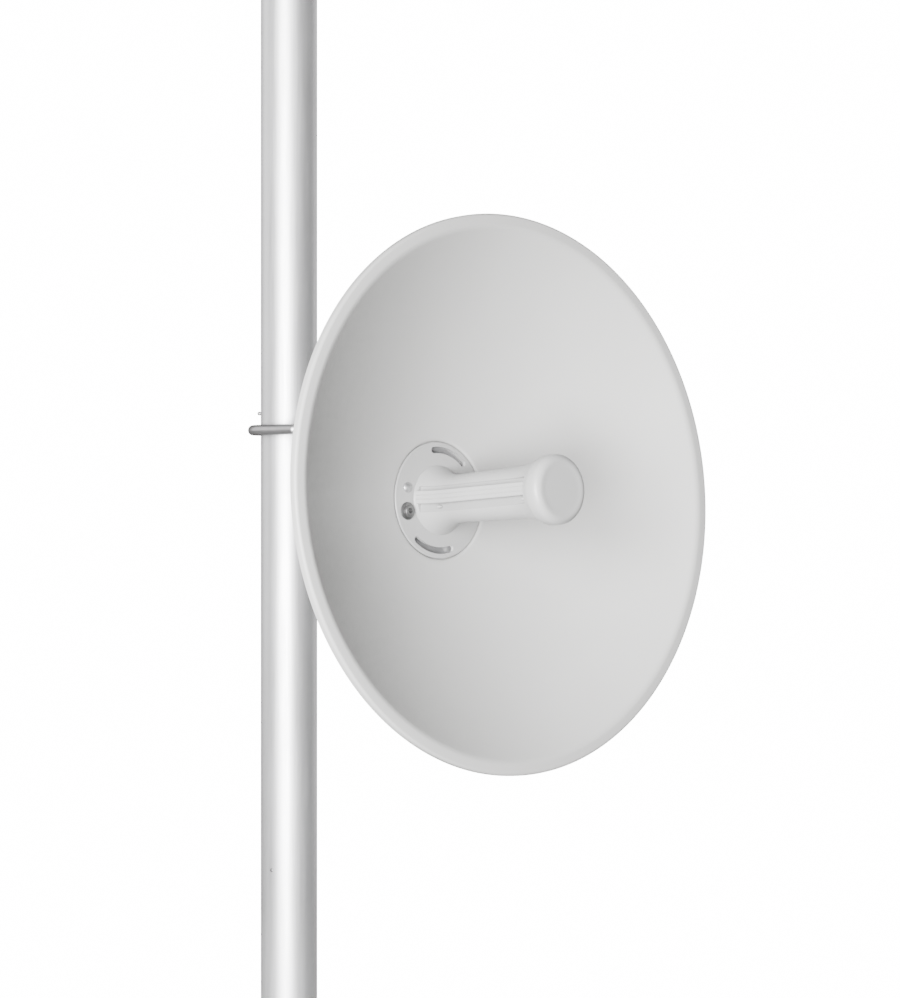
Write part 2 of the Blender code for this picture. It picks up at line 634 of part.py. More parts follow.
def add_tilt_bracket(dish, ring_back, pivot):
    """A bent sheet behind the mounting ring, with a cheek each side and the tilt slots."""
    front = ring_back - GAP
    outline = channel_outline(TILT_CHEEK, front, pivot.z - CHEEK_REACH)
    sheet = prism(outline, TILT_PLATE_BOTTOM - SHEET, pivot.y + PIVOT_EAR + SHEET, "Y")
    bracket = add_piece("tilt_bracket", sheet, "zinc", dish)
    lean = Matrix.Rotation(-DISH_ELEVATION, 2)
    bolt = lean @ Vector((-LOCK_OFFSET.x, LOCK_OFFSET.y))
    reach = bolt.length
    rest = math.degrees(math.atan2(bolt.y, bolt.x))
    play = math.degrees(0.5 * GAP / reach)
    low = rest - math.degrees(TILT_UP) - play
    high = rest + math.degrees(TILT_DOWN) + play
    centre = (pivot.z, pivot.y)
    ends = [arc_points(centre, reach, angle, angle, 1)[0] for angle in (low, high)]
    side = hull(
        circle_points(centre, PIVOT_EAR) + circle_points(ends[0], LOCK_EAR) + circle_points(ends[1], LOCK_EAR)
        + [(front + SHEET, TILT_PLATE_BOTTOM), (front + SHEET, TILT_PLATE_TOP)]
    )
    side = [(v, u) for u, v in side]
    combine(bracket, "INTERSECT", prism(side, -ACROSS, ACROSS, "X"), dish)
    holes = [circle_points((0, 0), RING_HOLE, ROUND_STEPS)]
    holes += [circle_points((x, y), HUB_BOLT_RADIUS + GAP, 12) for _, _, x, y in hub_bolt_places()]
    for hole in holes:
        combine(bracket, "DIFFERENCE", prism(hole, front - 2 * SHEET, front + OVERCUT), dish)
    hole = circle_points((pivot.y, pivot.z), PIVOT_BOLT_RADIUS + GAP)
    combine(bracket, "DIFFERENCE", prism(hole, -ACROSS, ACROSS, "X"), dish)
    slot = [(v, u) for u, v in curved_slot(centre, reach, LOCK_BOLT_RADIUS + GAP, low, high, 10)]
    combine(bracket, "DIFFERENCE", prism(slot, -ACROSS, ACROSS, "X"), dish)


def add_radio(dish):
    front = -FLANGE_FACE - FLANGE_THICKNESS - GAP
    rear = RADIO_REAR
    housing = add_piece(
        "radio_housing",
        turned([(0, rear), (RADIO_RADIUS, rear), (RADIO_RADIUS, front), (0, front)]),
        "white_plastic",
        dish,
    )
    outside = RADIO_RADIUS + OVERCUT
    below = [(-outside, -RADIO_FLAT), (outside, -RADIO_FLAT), (outside, -outside), (-outside, -outside)]
    combine(housing, "DIFFERENCE", prism(below, rear - OVERCUT, RADIO_FLAT_END), dish)
    top = rear - GAP
    edge = RADIO_RADIUS + COVER_OVERHANG
    rounding = COVER_THICKNESS - 0.003
    cover = [(0, top - COVER_THICKNESS)]
    cover += arc_points((edge - rounding, top - COVER_THICKNESS + rounding), rounding, -90.0, 0.0, 4)
    cover += [(edge, top), (0, top)]
    add_piece("radio_rear_cover", turned(cover), "white_plastic", dish)
    base = 0.002
    rings = [round_ring(GLAND_FOOT, 0.0), round_ring(GLAND_FOOT, base)]
    rings += [hex_ring(GLAND_HEXAGON, base), hex_ring(GLAND_HEXAGON, GLAND_RINGS[0][1])]
    rings += [round_ring(radius, height) for radius, height in GLAND_RINGS]
    place = facing((0, -1, 0), (0, -RADIO_FLAT - GAP, GLAND_PLACE))
    add_piece("cable_gland", loft(rings), "black_plastic", dish, place)


def add_grounding_screw(dish, ring_back):
    seat = ring_back - GAP - SHEET - GAP
    place = facing((0, 0, -1), (*GROUNDING_PLACE, seat))
    add_piece("grounding_screw", loft(collared_hexagon(GROUNDING_HEAD)), "dark_steel", dish, place)


def main():
    clear_scene()
    root = add_axis("mast_foot", (0.0, 0.0, 0.0))
    clamp = add_axis("azimuth_axis", (0.0, 0.0, CLAMP_HEIGHT), parent=root)
    tilt_axis = add_axis("elevation_axis", (0.0, -PIVOT_REACH, 0.0), parent=clamp)
    pivot_world = Vector((0.0, -PIVOT_REACH, CLAMP_HEIGHT))
    tip_forward = (math.pi / 2 - DISH_ELEVATION, 0.0, 0.0)
    dish = add_axis("dish_axis", RIM_CENTRE - pivot_world, tip_forward, tilt_axis)
    to_dish = Matrix.Rotation(tip_forward[0], 3, "X").inverted()
    pivot = to_dish @ (pivot_world - RIM_CENTRE)

    add_mast(root)
    add_u_bolt(clamp)
    add_pole_bracket(clamp)
    add_piece("dish_reflector", turned(reflector_profile(), DISH_STEPS), "white_paint", dish)
    ring_back = add_hub(dish)
    add_feed(dish)
    add_tilt_bracket(dish, ring_back, pivot)
    add_radio(dish)
    add_grounding_screw(dish, ring_back)
    bpy.context.view_layer.update()


main()
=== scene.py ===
"""The looks of the wireless dish antenna: finishes, fine surfaces, floor, light and camera."""

import json
import math

import bmesh
import bpy
from mathutils import Matrix, Vector


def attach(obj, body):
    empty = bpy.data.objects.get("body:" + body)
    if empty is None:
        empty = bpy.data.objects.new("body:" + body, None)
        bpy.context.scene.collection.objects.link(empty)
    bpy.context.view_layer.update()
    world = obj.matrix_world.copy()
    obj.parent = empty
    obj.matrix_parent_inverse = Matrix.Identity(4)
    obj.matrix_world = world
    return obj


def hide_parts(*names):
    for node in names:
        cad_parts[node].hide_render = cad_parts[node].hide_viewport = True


# Camera: level, looking past the front left of the mast
CAMERA_PLACE = (-2.008, -2.4078, 0.500)
CAMERA_YAW = math.radians(42.342)
CAMERA_LENS = 132.2

# Studio: a white surround for the camera, an even light, and a floor that fades out
SEEN_WHITE = 16.0
EVEN_LIGHT = 0.04
FLOOR_RADIUS = 0.52
LIT_POINT = Vector((0.0, -0.25, 0.5))
LIGHT_DISTANCE = 2.5

# Softboxes: degrees from -Y toward -X, degrees above the level, size in metres, watts
SOFTBOXES = {
    "key_low": (50.0, -10.0, (0.8, 0.8), 78.0),
    "key_middle": (56.0, -5.0, (0.8, 0.9), 72.0),
    "key_high": (60.0, 12.0, (0.8, 0.9), 76.0),
    "side": (74.0, 2.0, (0.8, 1.2), 94.0),
    "front": (16.0, 0.0, (1.2, 1.0), 11.0),
    "right": (-100.0, 6.0, (1.6, 1.8), 12.0),
    "back": (150.0, 14.0, (1.6, 1.8), 18.0),
}

# The dish's own frame: X to the right seen from the front, Y up and Z out along the beam
RIM_CENTRE = Vector((0.0, -0.2775, 0.5043))
DISH_ELEVATION = math.radians(3.5)
DISH = Matrix.Translation(RIM_CENTRE) @ Matrix.Rotation(math.pi / 2 - DISH_ELEVATION, 4, "X")

# Clearance between neighbouring pieces, as in the solids
GAP = 0.0003

# Reflector, as in the solids but for a tighter roll at the rim
DISH_RADIUS = 0.225
HOLE_RADIUS = 0.0446
SEAT_RADIUS = 0.0482
SEAT_DEPTH = 0.0898
SHOULDER_RADIUS = 0.0513
SHOULDER_DEPTH = 0.0856
SHOULDER = ((0.0002, 0.0024), (0.0008, 0.0010), (0.0018, 0.0003))
BOWL_RADIUS = 0.2125
BOWL_EDGE_DEPTH = 0.0015
LIP_ROLL = 0.0026
SKIRT_DEPTH = 0.006
SHELL = 0.002

# Feed, as in the solids: heights along the beam, radii, and the seam's channels
FLANGE_FACE = 0.0865
FOOT_RADIUS = 0.0286
WAIST_RADIUS = 0.0195
WAIST = -0.057
TAPER = 0.0239
FLARE = 0.0085
FOOT_CURVE = 2.6
CAP_CURVE = 2.3
CAP_RADIUS = 0.0280
CAP = 0.0455
CAP_FRONT = 0.0580
CAP_ROUND = 0.006
STRIP_HALF_WIDTH = 0.0053
STRIP_PROUD = 0.0022
STRIP_SEAT = 0.0038
CHANNEL_TOP = 0.0092
CHANNEL_BOTTOM = -0.0118
CHANNEL_START = -0.0835
CHANNEL_END = 0.0395
FEED_TURN = Matrix.Rotation(math.radians(-4.6), 4, "Z")
CATCH_PLACES = {"rear": -0.0655, "front": 0.0360}
CATCH_DROP = 0.0080
CATCH_RADIUS = 0.0012
CATCH_STRETCH = 2.0
CATCH_PROUD = 0.0010

# Mast, as in the solids but for wider studs, which have a height, a direction and a reach
MAST_RADIUS = 0.02415
MAST_WALL = 0.0032
MAST_LENGTH = 1.0
MAST_END_THICKNESS = 0.004
MAST_STEM_DEPTH = 0.026
MAST_STUDS = {
    "upper": (0.5730, Vector((-0.739, 0.674, 0.0)), 0.0029),
    "lower": (0.1848, Vector((-0.977, -0.215, 0.0)), 0.0008),
}
STUD_RADIUS = 0.0016

# Clamp and fasteners, as in the solids; a nut or a hexagon head has its width across flats, its
# height and its collar's radius. ROD_END is how far the U-bolt reaches past the near face of the
# pole bracket's web, and each other end is how far a bolt reaches past its nut's seat
CLAMP_HEIGHT = 0.5586
PIVOT_REACH = 0.095
SHEET = 0.003
ROD_RADIUS = 0.0045
ROD_SPACING = 0.0336
ROD_END = 0.020
ROD_WASHER_RADIUS = 0.0085
ROD_WASHER = 0.0016
WEB_REACH = 0.062
POLE_CHEEK = 0.0445
TILT_CHEEK = POLE_CHEEK + SHEET + GAP
LOCK_OFFSET = (-0.010, -0.0387)
PIVOT_BOLT_RADIUS = 0.004
LOCK_BOLT_RADIUS = 0.003
HUB_BOLT_RADIUS = 0.0025
PIVOT_END = 0.012
LOCK_END = 0.009
HUB_END = 0.005
HUB_BOLTS = {"upper": (0.0361, 15.3), "lower": (0.0366, -15.3)}
HUB_TURN = 1.5
COLLAR = 0.0012
ROD_NUT = (0.013, 0.0075, 0.0068)
PIVOT_HEAD = (0.013, 0.0065, 0.0078)
PIVOT_NUT = (0.013, 0.008, 0.0078)
LOCK_NUT = (0.010, 0.0062, 0.0072)
HUB_NUT = (0.008, 0.0042, 0.0047)
GROUNDING_HEAD = (0.008, 0.0045, 0.0055)
GROUNDING_PLACE = (0.032, 0.042)
RING_BACK = -SEAT_DEPTH - SHELL - GAP - SHEET
PLATE_BACK = RING_BACK - GAP - SHEET - GAP

# Radio behind the hub, as in the solids
RADIO_RADIUS = 0.030
RADIO_FRONT = -0.0898
RADIO_REAR = -0.1655
RADIO_FLAT = 0.0285
RADIO_FLAT_END = -0.1225
COVER_THICKNESS = 0.007
COVER_OVERHANG = 0.0015
GLAND_PLACE = -0.1455
GLAND_FOOT = 0.0085
GLAND_HEXAGON = 0.015

# Threads, which only the scene has: pitch and length. Then their depth as a share of the pitch,
# the plain lead beside them, and how much the tips of the bolts and of the U-bolt taper
ROD_THREAD = (0.00125, 0.034)
PIVOT_THREAD = (0.00125, 0.022)
LOCK_THREAD = (0.0010, 0.011)
HUB_THREAD = (0.0008, 0.009)
THREAD_DEPTH = 0.55
THREAD_LEAD = 0.0004
BOLT_TAPER = 0.0006
ROD_TAPER = 0.0008

# Hexagons are cut back to this share of their width, on this slope
HEXAGON_TOP = 0.96
HEXAGON_SLOPE = 0.577

# Domed heads: (radius, height) points up the edge, then the height of the dome's centre, its
# radius, the degrees it starts at and its steps
LOCK_HEAD = (((0.0065, 0),), -0.0045, 0.0079, 34.7, 10)
HUB_HEAD = (((0.0040, 0), (0.0041, 0.0003), (0.0040, 0.0009)), -0.0032, 0.0058, 45.0, 12)

# The socket head: (radius, height) points of its washer and side, and half the socket's width
# across flats
SOCKET_WASHER = ((0.0069, 0), (0.0072, 0.0002), (0.0072, 0.0008), (0.0069, 0.0010))
SOCKET_SIDE = ((0.0046, 0.0009), (0.0046, 0.0035), (0.0044, 0.0038), (0.0040, 0.0040))
SOCKET = 0.0021

# The cap's face: how deep it dips, and (radius, share of the dip) points toward the middle
CAP_DIP = 0.0002
CAP_FACE = ((0.0215, 0.0), (0.0200, 0.4), (0.0188, 1.0), (0.0160, 1.1), (0.0130, 1.1))

# Cover screws: their number, how far from the middle, and (radius, height) points of a head
COVER_SCREWS = 4
COVER_SCREW_PLACE = 0.0236
COVER_SCREW = ((0.0019, -0.001), (0.0019, 0.0002), (0.0016, 0.0004), (0.0008, 0.0004),
               (0.0007, -0.0004))

# How finely the pieces are stepped, and how near points have to be to merge
MAST_STEPS = 192
DISH_STEPS = 256
ROUND_STEPS = 128
WASHER_STEPS = 64
HEAD_STEPS = 48
SHANK_STEPS = 36
SMALL_STEPS = 32
RING_STEPS = 48
BEND_STEPS = 64
ROD_SIDES = 28
MERGE = 1e-6


class Finish:
    """A node material: a Principled shader and short ways to feed it."""

    def __init__(self, name, colour, roughness, metallic=0.0):
        self.material = bpy.data.materials.new(name)
        self.material.use_nodes = True
        self.nodes = self.material.node_tree.nodes
        self.links = self.material.node_tree.links
        self.shader = self.nodes["Principled BSDF"]
        self.colour = colour
        self.set("Base Color", (*colour, 1.0))
        self.set("Roughness", roughness)
        self.set("Metallic", metallic)
        self.place = self.nodes.new("ShaderNodeTexCoord").outputs["Object"]

    def set(self, socket, value):
        self.shader.inputs[socket].default_value = value

    def noise(self, scale, detail=4.0, stretch=(1.0, 1.0, 1.0), roughness=0.55):
        """Noise in object space; stretch above 1 packs it closer along that axis."""
        mapping = self.nodes.new("ShaderNodeMapping")
        mapping.inputs["Scale"].default_value = stretch
        texture = self.nodes.new("ShaderNodeTexNoise")
        texture.inputs["Scale"].default_value = scale
        texture.inputs["Detail"].default_value = detail
        texture.inputs["Roughness"].default_value = roughness
        self.links.new(self.place, mapping.inputs["Vector"])
        self.links.new(mapping.outputs["Vector"], texture.inputs["Vector"])
        return texture.outputs["Fac"]

    def spread(self, source, low, high, from_low=0.3, from_high=0.7):
        """Maps a 0 to 1 pattern onto a range of values."""
        node = self.nodes.new("ShaderNodeMapRange")
        node.inputs["From Min"].default_value = from_low
        node.inputs["From Max"].default_value = from_high
        node.inputs["To Min"].default_value = low
        node.inputs["To Max"].default_value = high
        self.links.new(source, node.inputs["Value"])
        return node.outputs["Result"]

    def tint(self, source, dark, light):
        """Base colour between two multiples of the finish's own colour."""
        node = self.nodes.new("ShaderNodeMix")
        node.data_type = "RGBA"
        node.inputs["A"].default_value = (*[c * dark for c in self.colour], 1.0)
        node.inputs["B"].default_value = (*[min(1.0, c * light) for c in self.colour], 1.0)
        self.links.new(source, node.inputs["Factor"])
        self.links.new(node.outputs["Result"], self.shader.inputs["Base Color"])

    def rough(self, source, low, high):
        self.links.new(self.spread(source, low, high), self.shader.inputs["Roughness"])

    def bump(self, source, distance):
        node = self.nodes.new("ShaderNodeBump")
        node.inputs["Distance"].default_value = distance
        node.inputs["Strength"].default_value = 1.0
        self.links.new(source, node.inputs["Height"])
        self.links.new(node.outputs["Normal"], self.shader.inputs["Normal"])


def mast_metal():
    finish = Finish("mast_metal", (0.78, 0.78, 0.79), roughness=0.46, metallic=0.85)
    streaks = finish.noise(60.0, stretch=(6.0, 6.0, 0.25))
    finish.tint(finish.spread(finish.noise(9.0), 0.0, 1.0), 0.93, 1.04)
    finish.rough(streaks, 0.42, 0.50)
    finish.bump(streaks, 0.00006)
    return finish.material


def dish_paint():
    finish = Finish("dish_paint", (0.54, 0.538, 0.53), roughness=0.42)
    finish.tint(finish.spread(finish.noise(14.0), 0.0, 1.0), 0.985, 1.015)
    finish.rough(finish.noise(180.0), 0.38, 0.46)
    finish.bump(finish.noise(900.0, 2.0), 0.00003)
    return finish.material


def radio_plastic():
    finish = Finish("radio_plastic", (0.46, 0.46, 0.457), roughness=0.36)
    finish.rough(finish.noise(220.0), 0.30, 0.40)
    finish.bump(finish.noise(1800.0, 2.0), 0.00002)
    return finish.material


def zinc_steel():
    finish = Finish("zinc_steel", (0.60, 0.60, 0.61), roughness=0.36, metallic=0.8)
    clouds = finish.noise(70.0)
    finish.tint(finish.spread(clouds, 0.0, 1.0), 0.85, 1.12)
    finish.rough(finish.noise(150.0), 0.30, 0.46)
    return finish.material


def rod_steel():
    finish = Finish("rod_steel", (0.42, 0.415, 0.42), roughness=0.32, metallic=0.84)
    finish.rough(finish.noise(260.0), 0.28, 0.42)
    return finish.material


def dark_steel():
    finish = Finish("dark_steel", (0.22, 0.22, 0.22), roughness=0.36, metallic=0.85)
    finish.rough(finish.noise(400.0), 0.30, 0.46)
    return finish.material


def painted_shade_plastic():
    """The feed's plastic made darker, as painted shade on the floors of the seam's channels."""
    finish = Finish("painted_shade_plastic", (0.35, 0.35, 0.348), roughness=0.42)
    finish.rough(finish.noise(220.0), 0.38, 0.46)
    return finish.material


def black_plastic():
    finish = Finish("black_plastic", (0.035, 0.035, 0.035), roughness=0.48)
    finish.bump(finish.noise(1500.0, 2.0), 0.00003)
    return finish.material


FINISHES = {
    "mast_metal": mast_metal,
    "dish_paint": dish_paint,
    "radio_plastic": radio_plastic,
    "zinc_steel": zinc_steel,
    "rod_steel": rod_steel,
    "dark_steel": dark_steel,
    "black_plastic": black_plastic,
}


def dress_nodes(frame):
    """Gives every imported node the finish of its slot."""
    for row in frame["record"]["subparts"]:
        node = frame["nodes"][row["node"]]
        node.data.materials.clear()
        node.data.materials.append(MATERIALS[row["material_slot"]])


def lathe(profile, steps):
    """Turns (radius, height) points about Z: a solid, or a ring where none is on the axis."""
    bm = bmesh.new()
    verts = [bm.verts.new((radius, 0.0, height)) for radius, height in profile]
    edges = [bm.edges.new(pair) for pair in zip(verts, verts[1:])]
    if profile[0][0] > 0.0:
        edges.append(bm.edges.new((verts[-1], verts[0])))
    geom = verts + edges
    bmesh.ops.spin(bm, geom=geom, cent=(0, 0, 0), axis=(0, 0, 1), angle=math.tau, steps=steps)
    return bm


def loft(rings, capped=True):
    """Skins equal rings of points, and closes both ends unless they meet."""
    bm = bmesh.new()
    rows = [[bm.verts.new(point) for point in ring] for ring in rings]
    for lower, upper in zip(rows, rows[1:]):
        for index in range(len(lower)):
            follow = (index + 1) % len(lower)
            bm.faces.new((lower[index], lower[follow], upper[follow], upper[index]))
    if capped:
        bm.faces.new(rows[0])
        bm.faces.new(rows[-1])
    return bm


def arc(centre, radius, start, end, steps):
    """Points on an arc, with the angles in degrees."""
    angles = [math.radians(start + (end - start) * index / steps) for index in range(steps + 1)]
    return [(centre[0] + radius * math.cos(a), centre[1] + radius * math.sin(a)) for a in angles]


def spread(start, end, steps):
    """Equal steps from start to end, with both ends in."""
    return [start + (end - start) * index / steps for index in range(steps + 1)]


def soft_corner(start, corner, end, steps=10):
    """Points on a smooth curve from start to end that rounds off the corner between them."""
    points = []
    for part in spread(0.0, 1.0, steps):
        near, mid, far = (1 - part) ** 2, 2 * part * (1 - part), part**2
        points.append(tuple(near * a + mid * b + far * c for a, b, c in zip(start, corner, end)))
    return points


def add_piece(name, bm, matrix, body, slot, stands_for, sharp=35.0):
    """A fine piece in place of the CAD nodes it stands for, with hard edges past sharp degrees."""
    bmesh.ops.remove_doubles(bm, verts=bm.verts, dist=MERGE)
    bmesh.ops.recalc_face_normals(bm, faces=bm.faces)
    mesh = bpy.data.meshes.new(name)
    bm.to_mesh(mesh)
    bm.free()
    mesh.transform(matrix)
    mesh.shade_smooth()
    mesh.set_sharp_from_angle(angle=math.radians(sharp))
    mesh.materials.append(MATERIALS[slot])
    piece = bpy.data.objects.new(name, mesh)
    bpy.context.scene.collection.objects.link(piece)
    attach(piece, body)
    if stands_for:
        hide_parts(*stands_for)
    return piece


def facing(direction, location):
    """A placement whose Z runs along the given direction."""
    turn = Vector((0.0, 0.0, 1.0)).rotation_difference(Vector(direction))
    return Matrix.Translation(Vector(location)) @ turn.to_matrix().to_4x4()


def add_mast():
    """The round tube with a plug in its foot, a cap on its top and two small rivets."""
    inner = MAST_RADIUS - MAST_WALL
    stem = inner - GAP
    edge = 0.0004
    rounding = 0.0015
    low = MAST_END_THICKNESS + GAP
    high = MAST_LENGTH - low
    tube = [(inner, low), (MAST_RADIUS - edge, low), (MAST_RADIUS, low + edge)]
    tube += [(MAST_RADIUS, high - edge), (MAST_RADIUS - edge, high), (inner, high)]
    fine = lathe(tube, MAST_STEPS)
    add_piece("mast_tube_fine", fine, Matrix(), "mast", "mast_metal", ["mast_tube"])

    plug = [(0, 0), (MAST_RADIUS - edge, 0), (MAST_RADIUS, edge), (MAST_RADIUS, MAST_END_THICKNESS)]
    plug += [(stem, MAST_END_THICKNESS), (stem, MAST_STEM_DEPTH), (0, MAST_STEM_DEPTH)]
    fine = lathe(plug, ROUND_STEPS)
    add_piece("foot_plug_fine", fine, Matrix(), "mast", "mast_metal", ["mast_foot_plug"])

    shoulder = MAST_LENGTH - MAST_END_THICKNESS
    stem_end = MAST_LENGTH - MAST_STEM_DEPTH
    cap = [(0, stem_end), (stem, stem_end), (stem, shoulder), (MAST_RADIUS, shoulder)]
    cap += arc((MAST_RADIUS - rounding, MAST_LENGTH - rounding), rounding, 0.0, 90.0, 8)
    fine = lathe(cap + [(0, MAST_LENGTH)], ROUND_STEPS)
    add_piece("top_cap_fine", fine, Matrix(), "mast", "black_plastic", ["mast_top_cap"])

    for name, (height, direction, proud) in MAST_STUDS.items():
        end = MAST_RADIUS + proud
        crown = min(proud, STUD_RADIUS)
        dome = arc((0.0, 0.0), STUD_RADIUS, 0.0, 90.0, 6)[1:]
        rivet = [(0, inner), (STUD_RADIUS, inner), (STUD_RADIUS, end - crown)]
        rivet += [(radius, end + (rise - STUD_RADIUS) * crown / STUD_RADIUS) for radius, rise in dome]
        place = facing(direction, (0.0, 0.0, height))
        fine = lathe(rivet, SMALL_STEPS)
        add_piece(f"stud_{name}_fine", fine, place, "mast", "dark_steel", [f"mast_stud_{name}"])


def add_reflector():
    """The spun bowl with its shoulder, flat lip and rolled edge."""
    before_lip = 0.0010
    on_lip = 0.0030
    back_shift = 0.0010
    rise = (SHOULDER_DEPTH - BOWL_EDGE_DEPTH) / (BOWL_RADIUS**2 - SHOULDER_RADIUS**2)

    def bowl(radius):
        return -SHOULDER_DEPTH + rise * (radius**2 - SHOULDER_RADIUS**2)

    bowl_end = BOWL_RADIUS - before_lip
    corner = bowl_end - bowl(bowl_end) / (2 * rise * bowl_end)
    radii = spread(SHOULDER_RADIUS, bowl_end, 48)
    profile = [(HOLE_RADIUS, -SEAT_DEPTH), (SEAT_RADIUS, -SEAT_DEPTH)]
    profile += [(SEAT_RADIUS + out, -SHOULDER_DEPTH - drop) for out, drop in SHOULDER]
    profile += [(radius, bowl(radius)) for radius in radii]
    profile += soft_corner((bowl_end, bowl(bowl_end)), (corner, 0.0), (corner + on_lip, 0.0))[1:]
    roll_centre = (DISH_RADIUS - LIP_ROLL, -LIP_ROLL)
    profile += arc(roll_centre, LIP_ROLL, 90.0, 0.0, 14)
    profile += [(DISH_RADIUS, -SKIRT_DEPTH), (DISH_RADIUS - SHELL, -SKIRT_DEPTH)]
    profile += arc(roll_centre, LIP_ROLL - SHELL, 0.0, 90.0, 8)
    profile += [(BOWL_RADIUS + on_lip, -SHELL)]
    profile += [(radius + back_shift, bowl(radius) - SHELL) for radius in reversed(radii[1::3])]
    profile += [(SHOULDER_RADIUS + SHELL, bowl(SHOULDER_RADIUS) - SHELL)]
    profile += [(SEAT_RADIUS + SHELL, -SEAT_DEPTH - SHELL), (HOLE_RADIUS, -SEAT_DEPTH - SHELL)]
    fine = lathe(profile, DISH_STEPS)
    add_piece("reflector_shell", fine, DISH, "head", "dish_paint", ["dish_reflector"])


def barrel_radius(height):
    """Radius of the plain barrel, which opens slightly toward the front."""
    return WAIST_RADIUS + TAPER * (height - WAIST)


def feed_radius(height):
    """Radius of the feed tube: a trumpet foot, the barrel, and a cove that flares to the cap."""
    if height < WAIST:
        along = (height + FLANGE_FACE) / (WAIST + FLANGE_FACE)
        return WAIST_RADIUS + (FOOT_RADIUS - WAIST_RADIUS) * (1 - along) ** FOOT_CURVE
    if height < FLARE:
        return barrel_radius(height)
    along = min(1.0, (height - FLARE) / (CAP - FLARE))
    start = barrel_radius(FLARE)
    return start + (CAP_RADIUS - start) * along**CAP_CURVE


def seam_height(height, proud):
    """How far from the axis something lies that stands proud of the foot and the barrel."""
    return max(feed_radius(min(height, WAIST)), barrel_radius(height)) + proud


def feed_section(radius, floor, height):
    """A ring of points round the feed, flattened to the channel's floor on both sides."""
    levels = [CHANNEL_BOTTOM] + spread(CHANNEL_BOTTOM, CHANNEL_TOP, 6) + [CHANNEL_TOP]
    low = math.degrees(math.asin(CHANNEL_BOTTOM / radius))
    high = math.degrees(math.asin(CHANNEL_TOP / radius))
    ring = []
    for sign in (1, -1):
        side = [(sign * math.sqrt(max(radius**2 - y * y, 0.0)), y) for y in levels]
        for index in range(1, len(side) - 1):
            x, y = side[index]
            side[index] = (sign * min(abs(x), floor), y)
        if sign > 0:
            ring += side + arc((0, 0), radius, high, 180 - high, 40)[1:-1]
        else:
            ring += side[::-1] + arc((0, 0), radius, 180 - low, 360 + low, 40)[1:-1]
    return [Vector((x, y, height)) for x, y in ring]


def add_feed_body():
    """The trumpet foot, the barrel with its channels and the cap with a slight dip in its face."""
    uncut = 2 * CAP_RADIUS
    rings = []
    for height in spread(-FLANGE_FACE + GAP, CHANNEL_START, 4):
        rings.append(feed_section(feed_radius(height), uncut, height))
    channel = spread(CHANNEL_START, WAIST, 20) + spread(WAIST, FLARE, 6)[1:]
    channel += spread(FLARE, CHANNEL_END, 12)[1:]
    for height in channel:
        rings.append(feed_section(feed_radius(height), seam_height(height, -STRIP_SEAT), height))
    for height in spread(CHANNEL_END, CAP, 8):
        rings.append(feed_section(feed_radius(height), uncut, height))
    centre = (CAP_RADIUS - CAP_ROUND, CAP_FRONT - CAP_ROUND)
    for radius, height in arc(centre, CAP_ROUND, 0.0, 90.0, 14)[:-1]:
        rings.append(feed_section(radius, uncut, height))
    for radius, share in CAP_FACE:
        rings.append(feed_section(radius, uncut, CAP_FRONT - share * CAP_DIP))
    place = DISH @ FEED_TURN
    feed = add_piece("feed_body", loft(rings), place, "head", "radio_plastic", ["feed_tube"],
                     sharp=28.0)
    paint_channel_shade(feed, place.inverted())


def paint_channel_shade(feed, level):
    """Gives the faces on the channels' floors the darker plastic as painted shade; level undoes the
    feed's place.
    """
    close = 0.0004
    # Painted shade: the channels' floors take a darker copy of the feed's plastic
    feed.data.materials.append(painted_shade_plastic())
    for face in feed.data.polygons:
        x, y, height = level @ face.center
        sunk = abs(abs(x) - seam_height(height, -STRIP_SEAT)) < close
        if sunk and CHANNEL_START < height < CHANNEL_END and CHANNEL_BOTTOM < y < CHANNEL_TOP:
            face.material_index = 1


def add_seam_strips():
    """A raised band each side of the feed, with two fine grooves along it."""
    start, end = CHANNEL_START + GAP, CHANNEL_END - GAP
    edge = 0.0005
    groove = 0.00045
    groove_place = 0.0018
    heights = spread(start, WAIST, 20) + spread(WAIST, end, 10)[1:]
    for side, sign in (("left", -1), ("right", 1)):
        rings = []
        for height in heights:
            face = seam_height(height, STRIP_PROUD)
            seat = seam_height(height, GAP - STRIP_SEAT)
            outline = [(seat, -STRIP_HALF_WIDTH), (face - edge, -STRIP_HALF_WIDTH)]
            outline.append((face, edge - STRIP_HALF_WIDTH))
            for middle in (-groove_place, groove_place):
                outline += [(face, middle - groove), (face - groove, middle - groove / 3)]
                outline += [(face - groove, middle + groove / 3), (face, middle + groove)]
            outline.append((face, STRIP_HALF_WIDTH - edge))
            outline += [(face - edge, STRIP_HALF_WIDTH), (seat, STRIP_HALF_WIDTH)]
            rings.append([Vector((sign * x, y, height)) for x, y in outline])
        name = f"seam_strip_{side}"
        place = DISH @ FEED_TURN
        add_piece(f"{name}_fine", loft(rings), place, "head", "radio_plastic", [name], sharp=30.0)


def add_catches():
    """Small catches in the channels: round lenses on short necks, stretched along the beam."""
    neck = 0.0011
    for side, sign in (("left", -1), ("right", 1)):
        for end, height in CATCH_PLACES.items():
            seat = seam_height(height - CATCH_STRETCH * CATCH_RADIUS, 2 * GAP - STRIP_SEAT)
            rise = barrel_radius(height) + CATCH_PROUD - seat
            lens = arc((0.0, rise - CATCH_RADIUS), CATCH_RADIUS, 0.0, 90.0, 8)
            bm = lathe([(0, 0), (neck, 0)] + lens, SMALL_STEPS)
            for vert in bm.verts:
                vert.co.x *= CATCH_STRETCH
            turn = Matrix.Rotation(sign * math.pi / 2, 4, "Y")
            place = DISH @ FEED_TURN @ Matrix.Translation((sign * seat, -CATCH_DROP, height)) @ turn
            name = f"feed_catch_{end}_{side}"
            add_piece(f"{name}_fine", bm, place, "head", "radio_plastic", [name])


def clamp_place(direction, location):
    """A placement on the clamp, whose own zero is on the mast's axis."""
    return Matrix.Translation((0.0, 0.0, CLAMP_HEIGHT)) @ facing(direction, location)


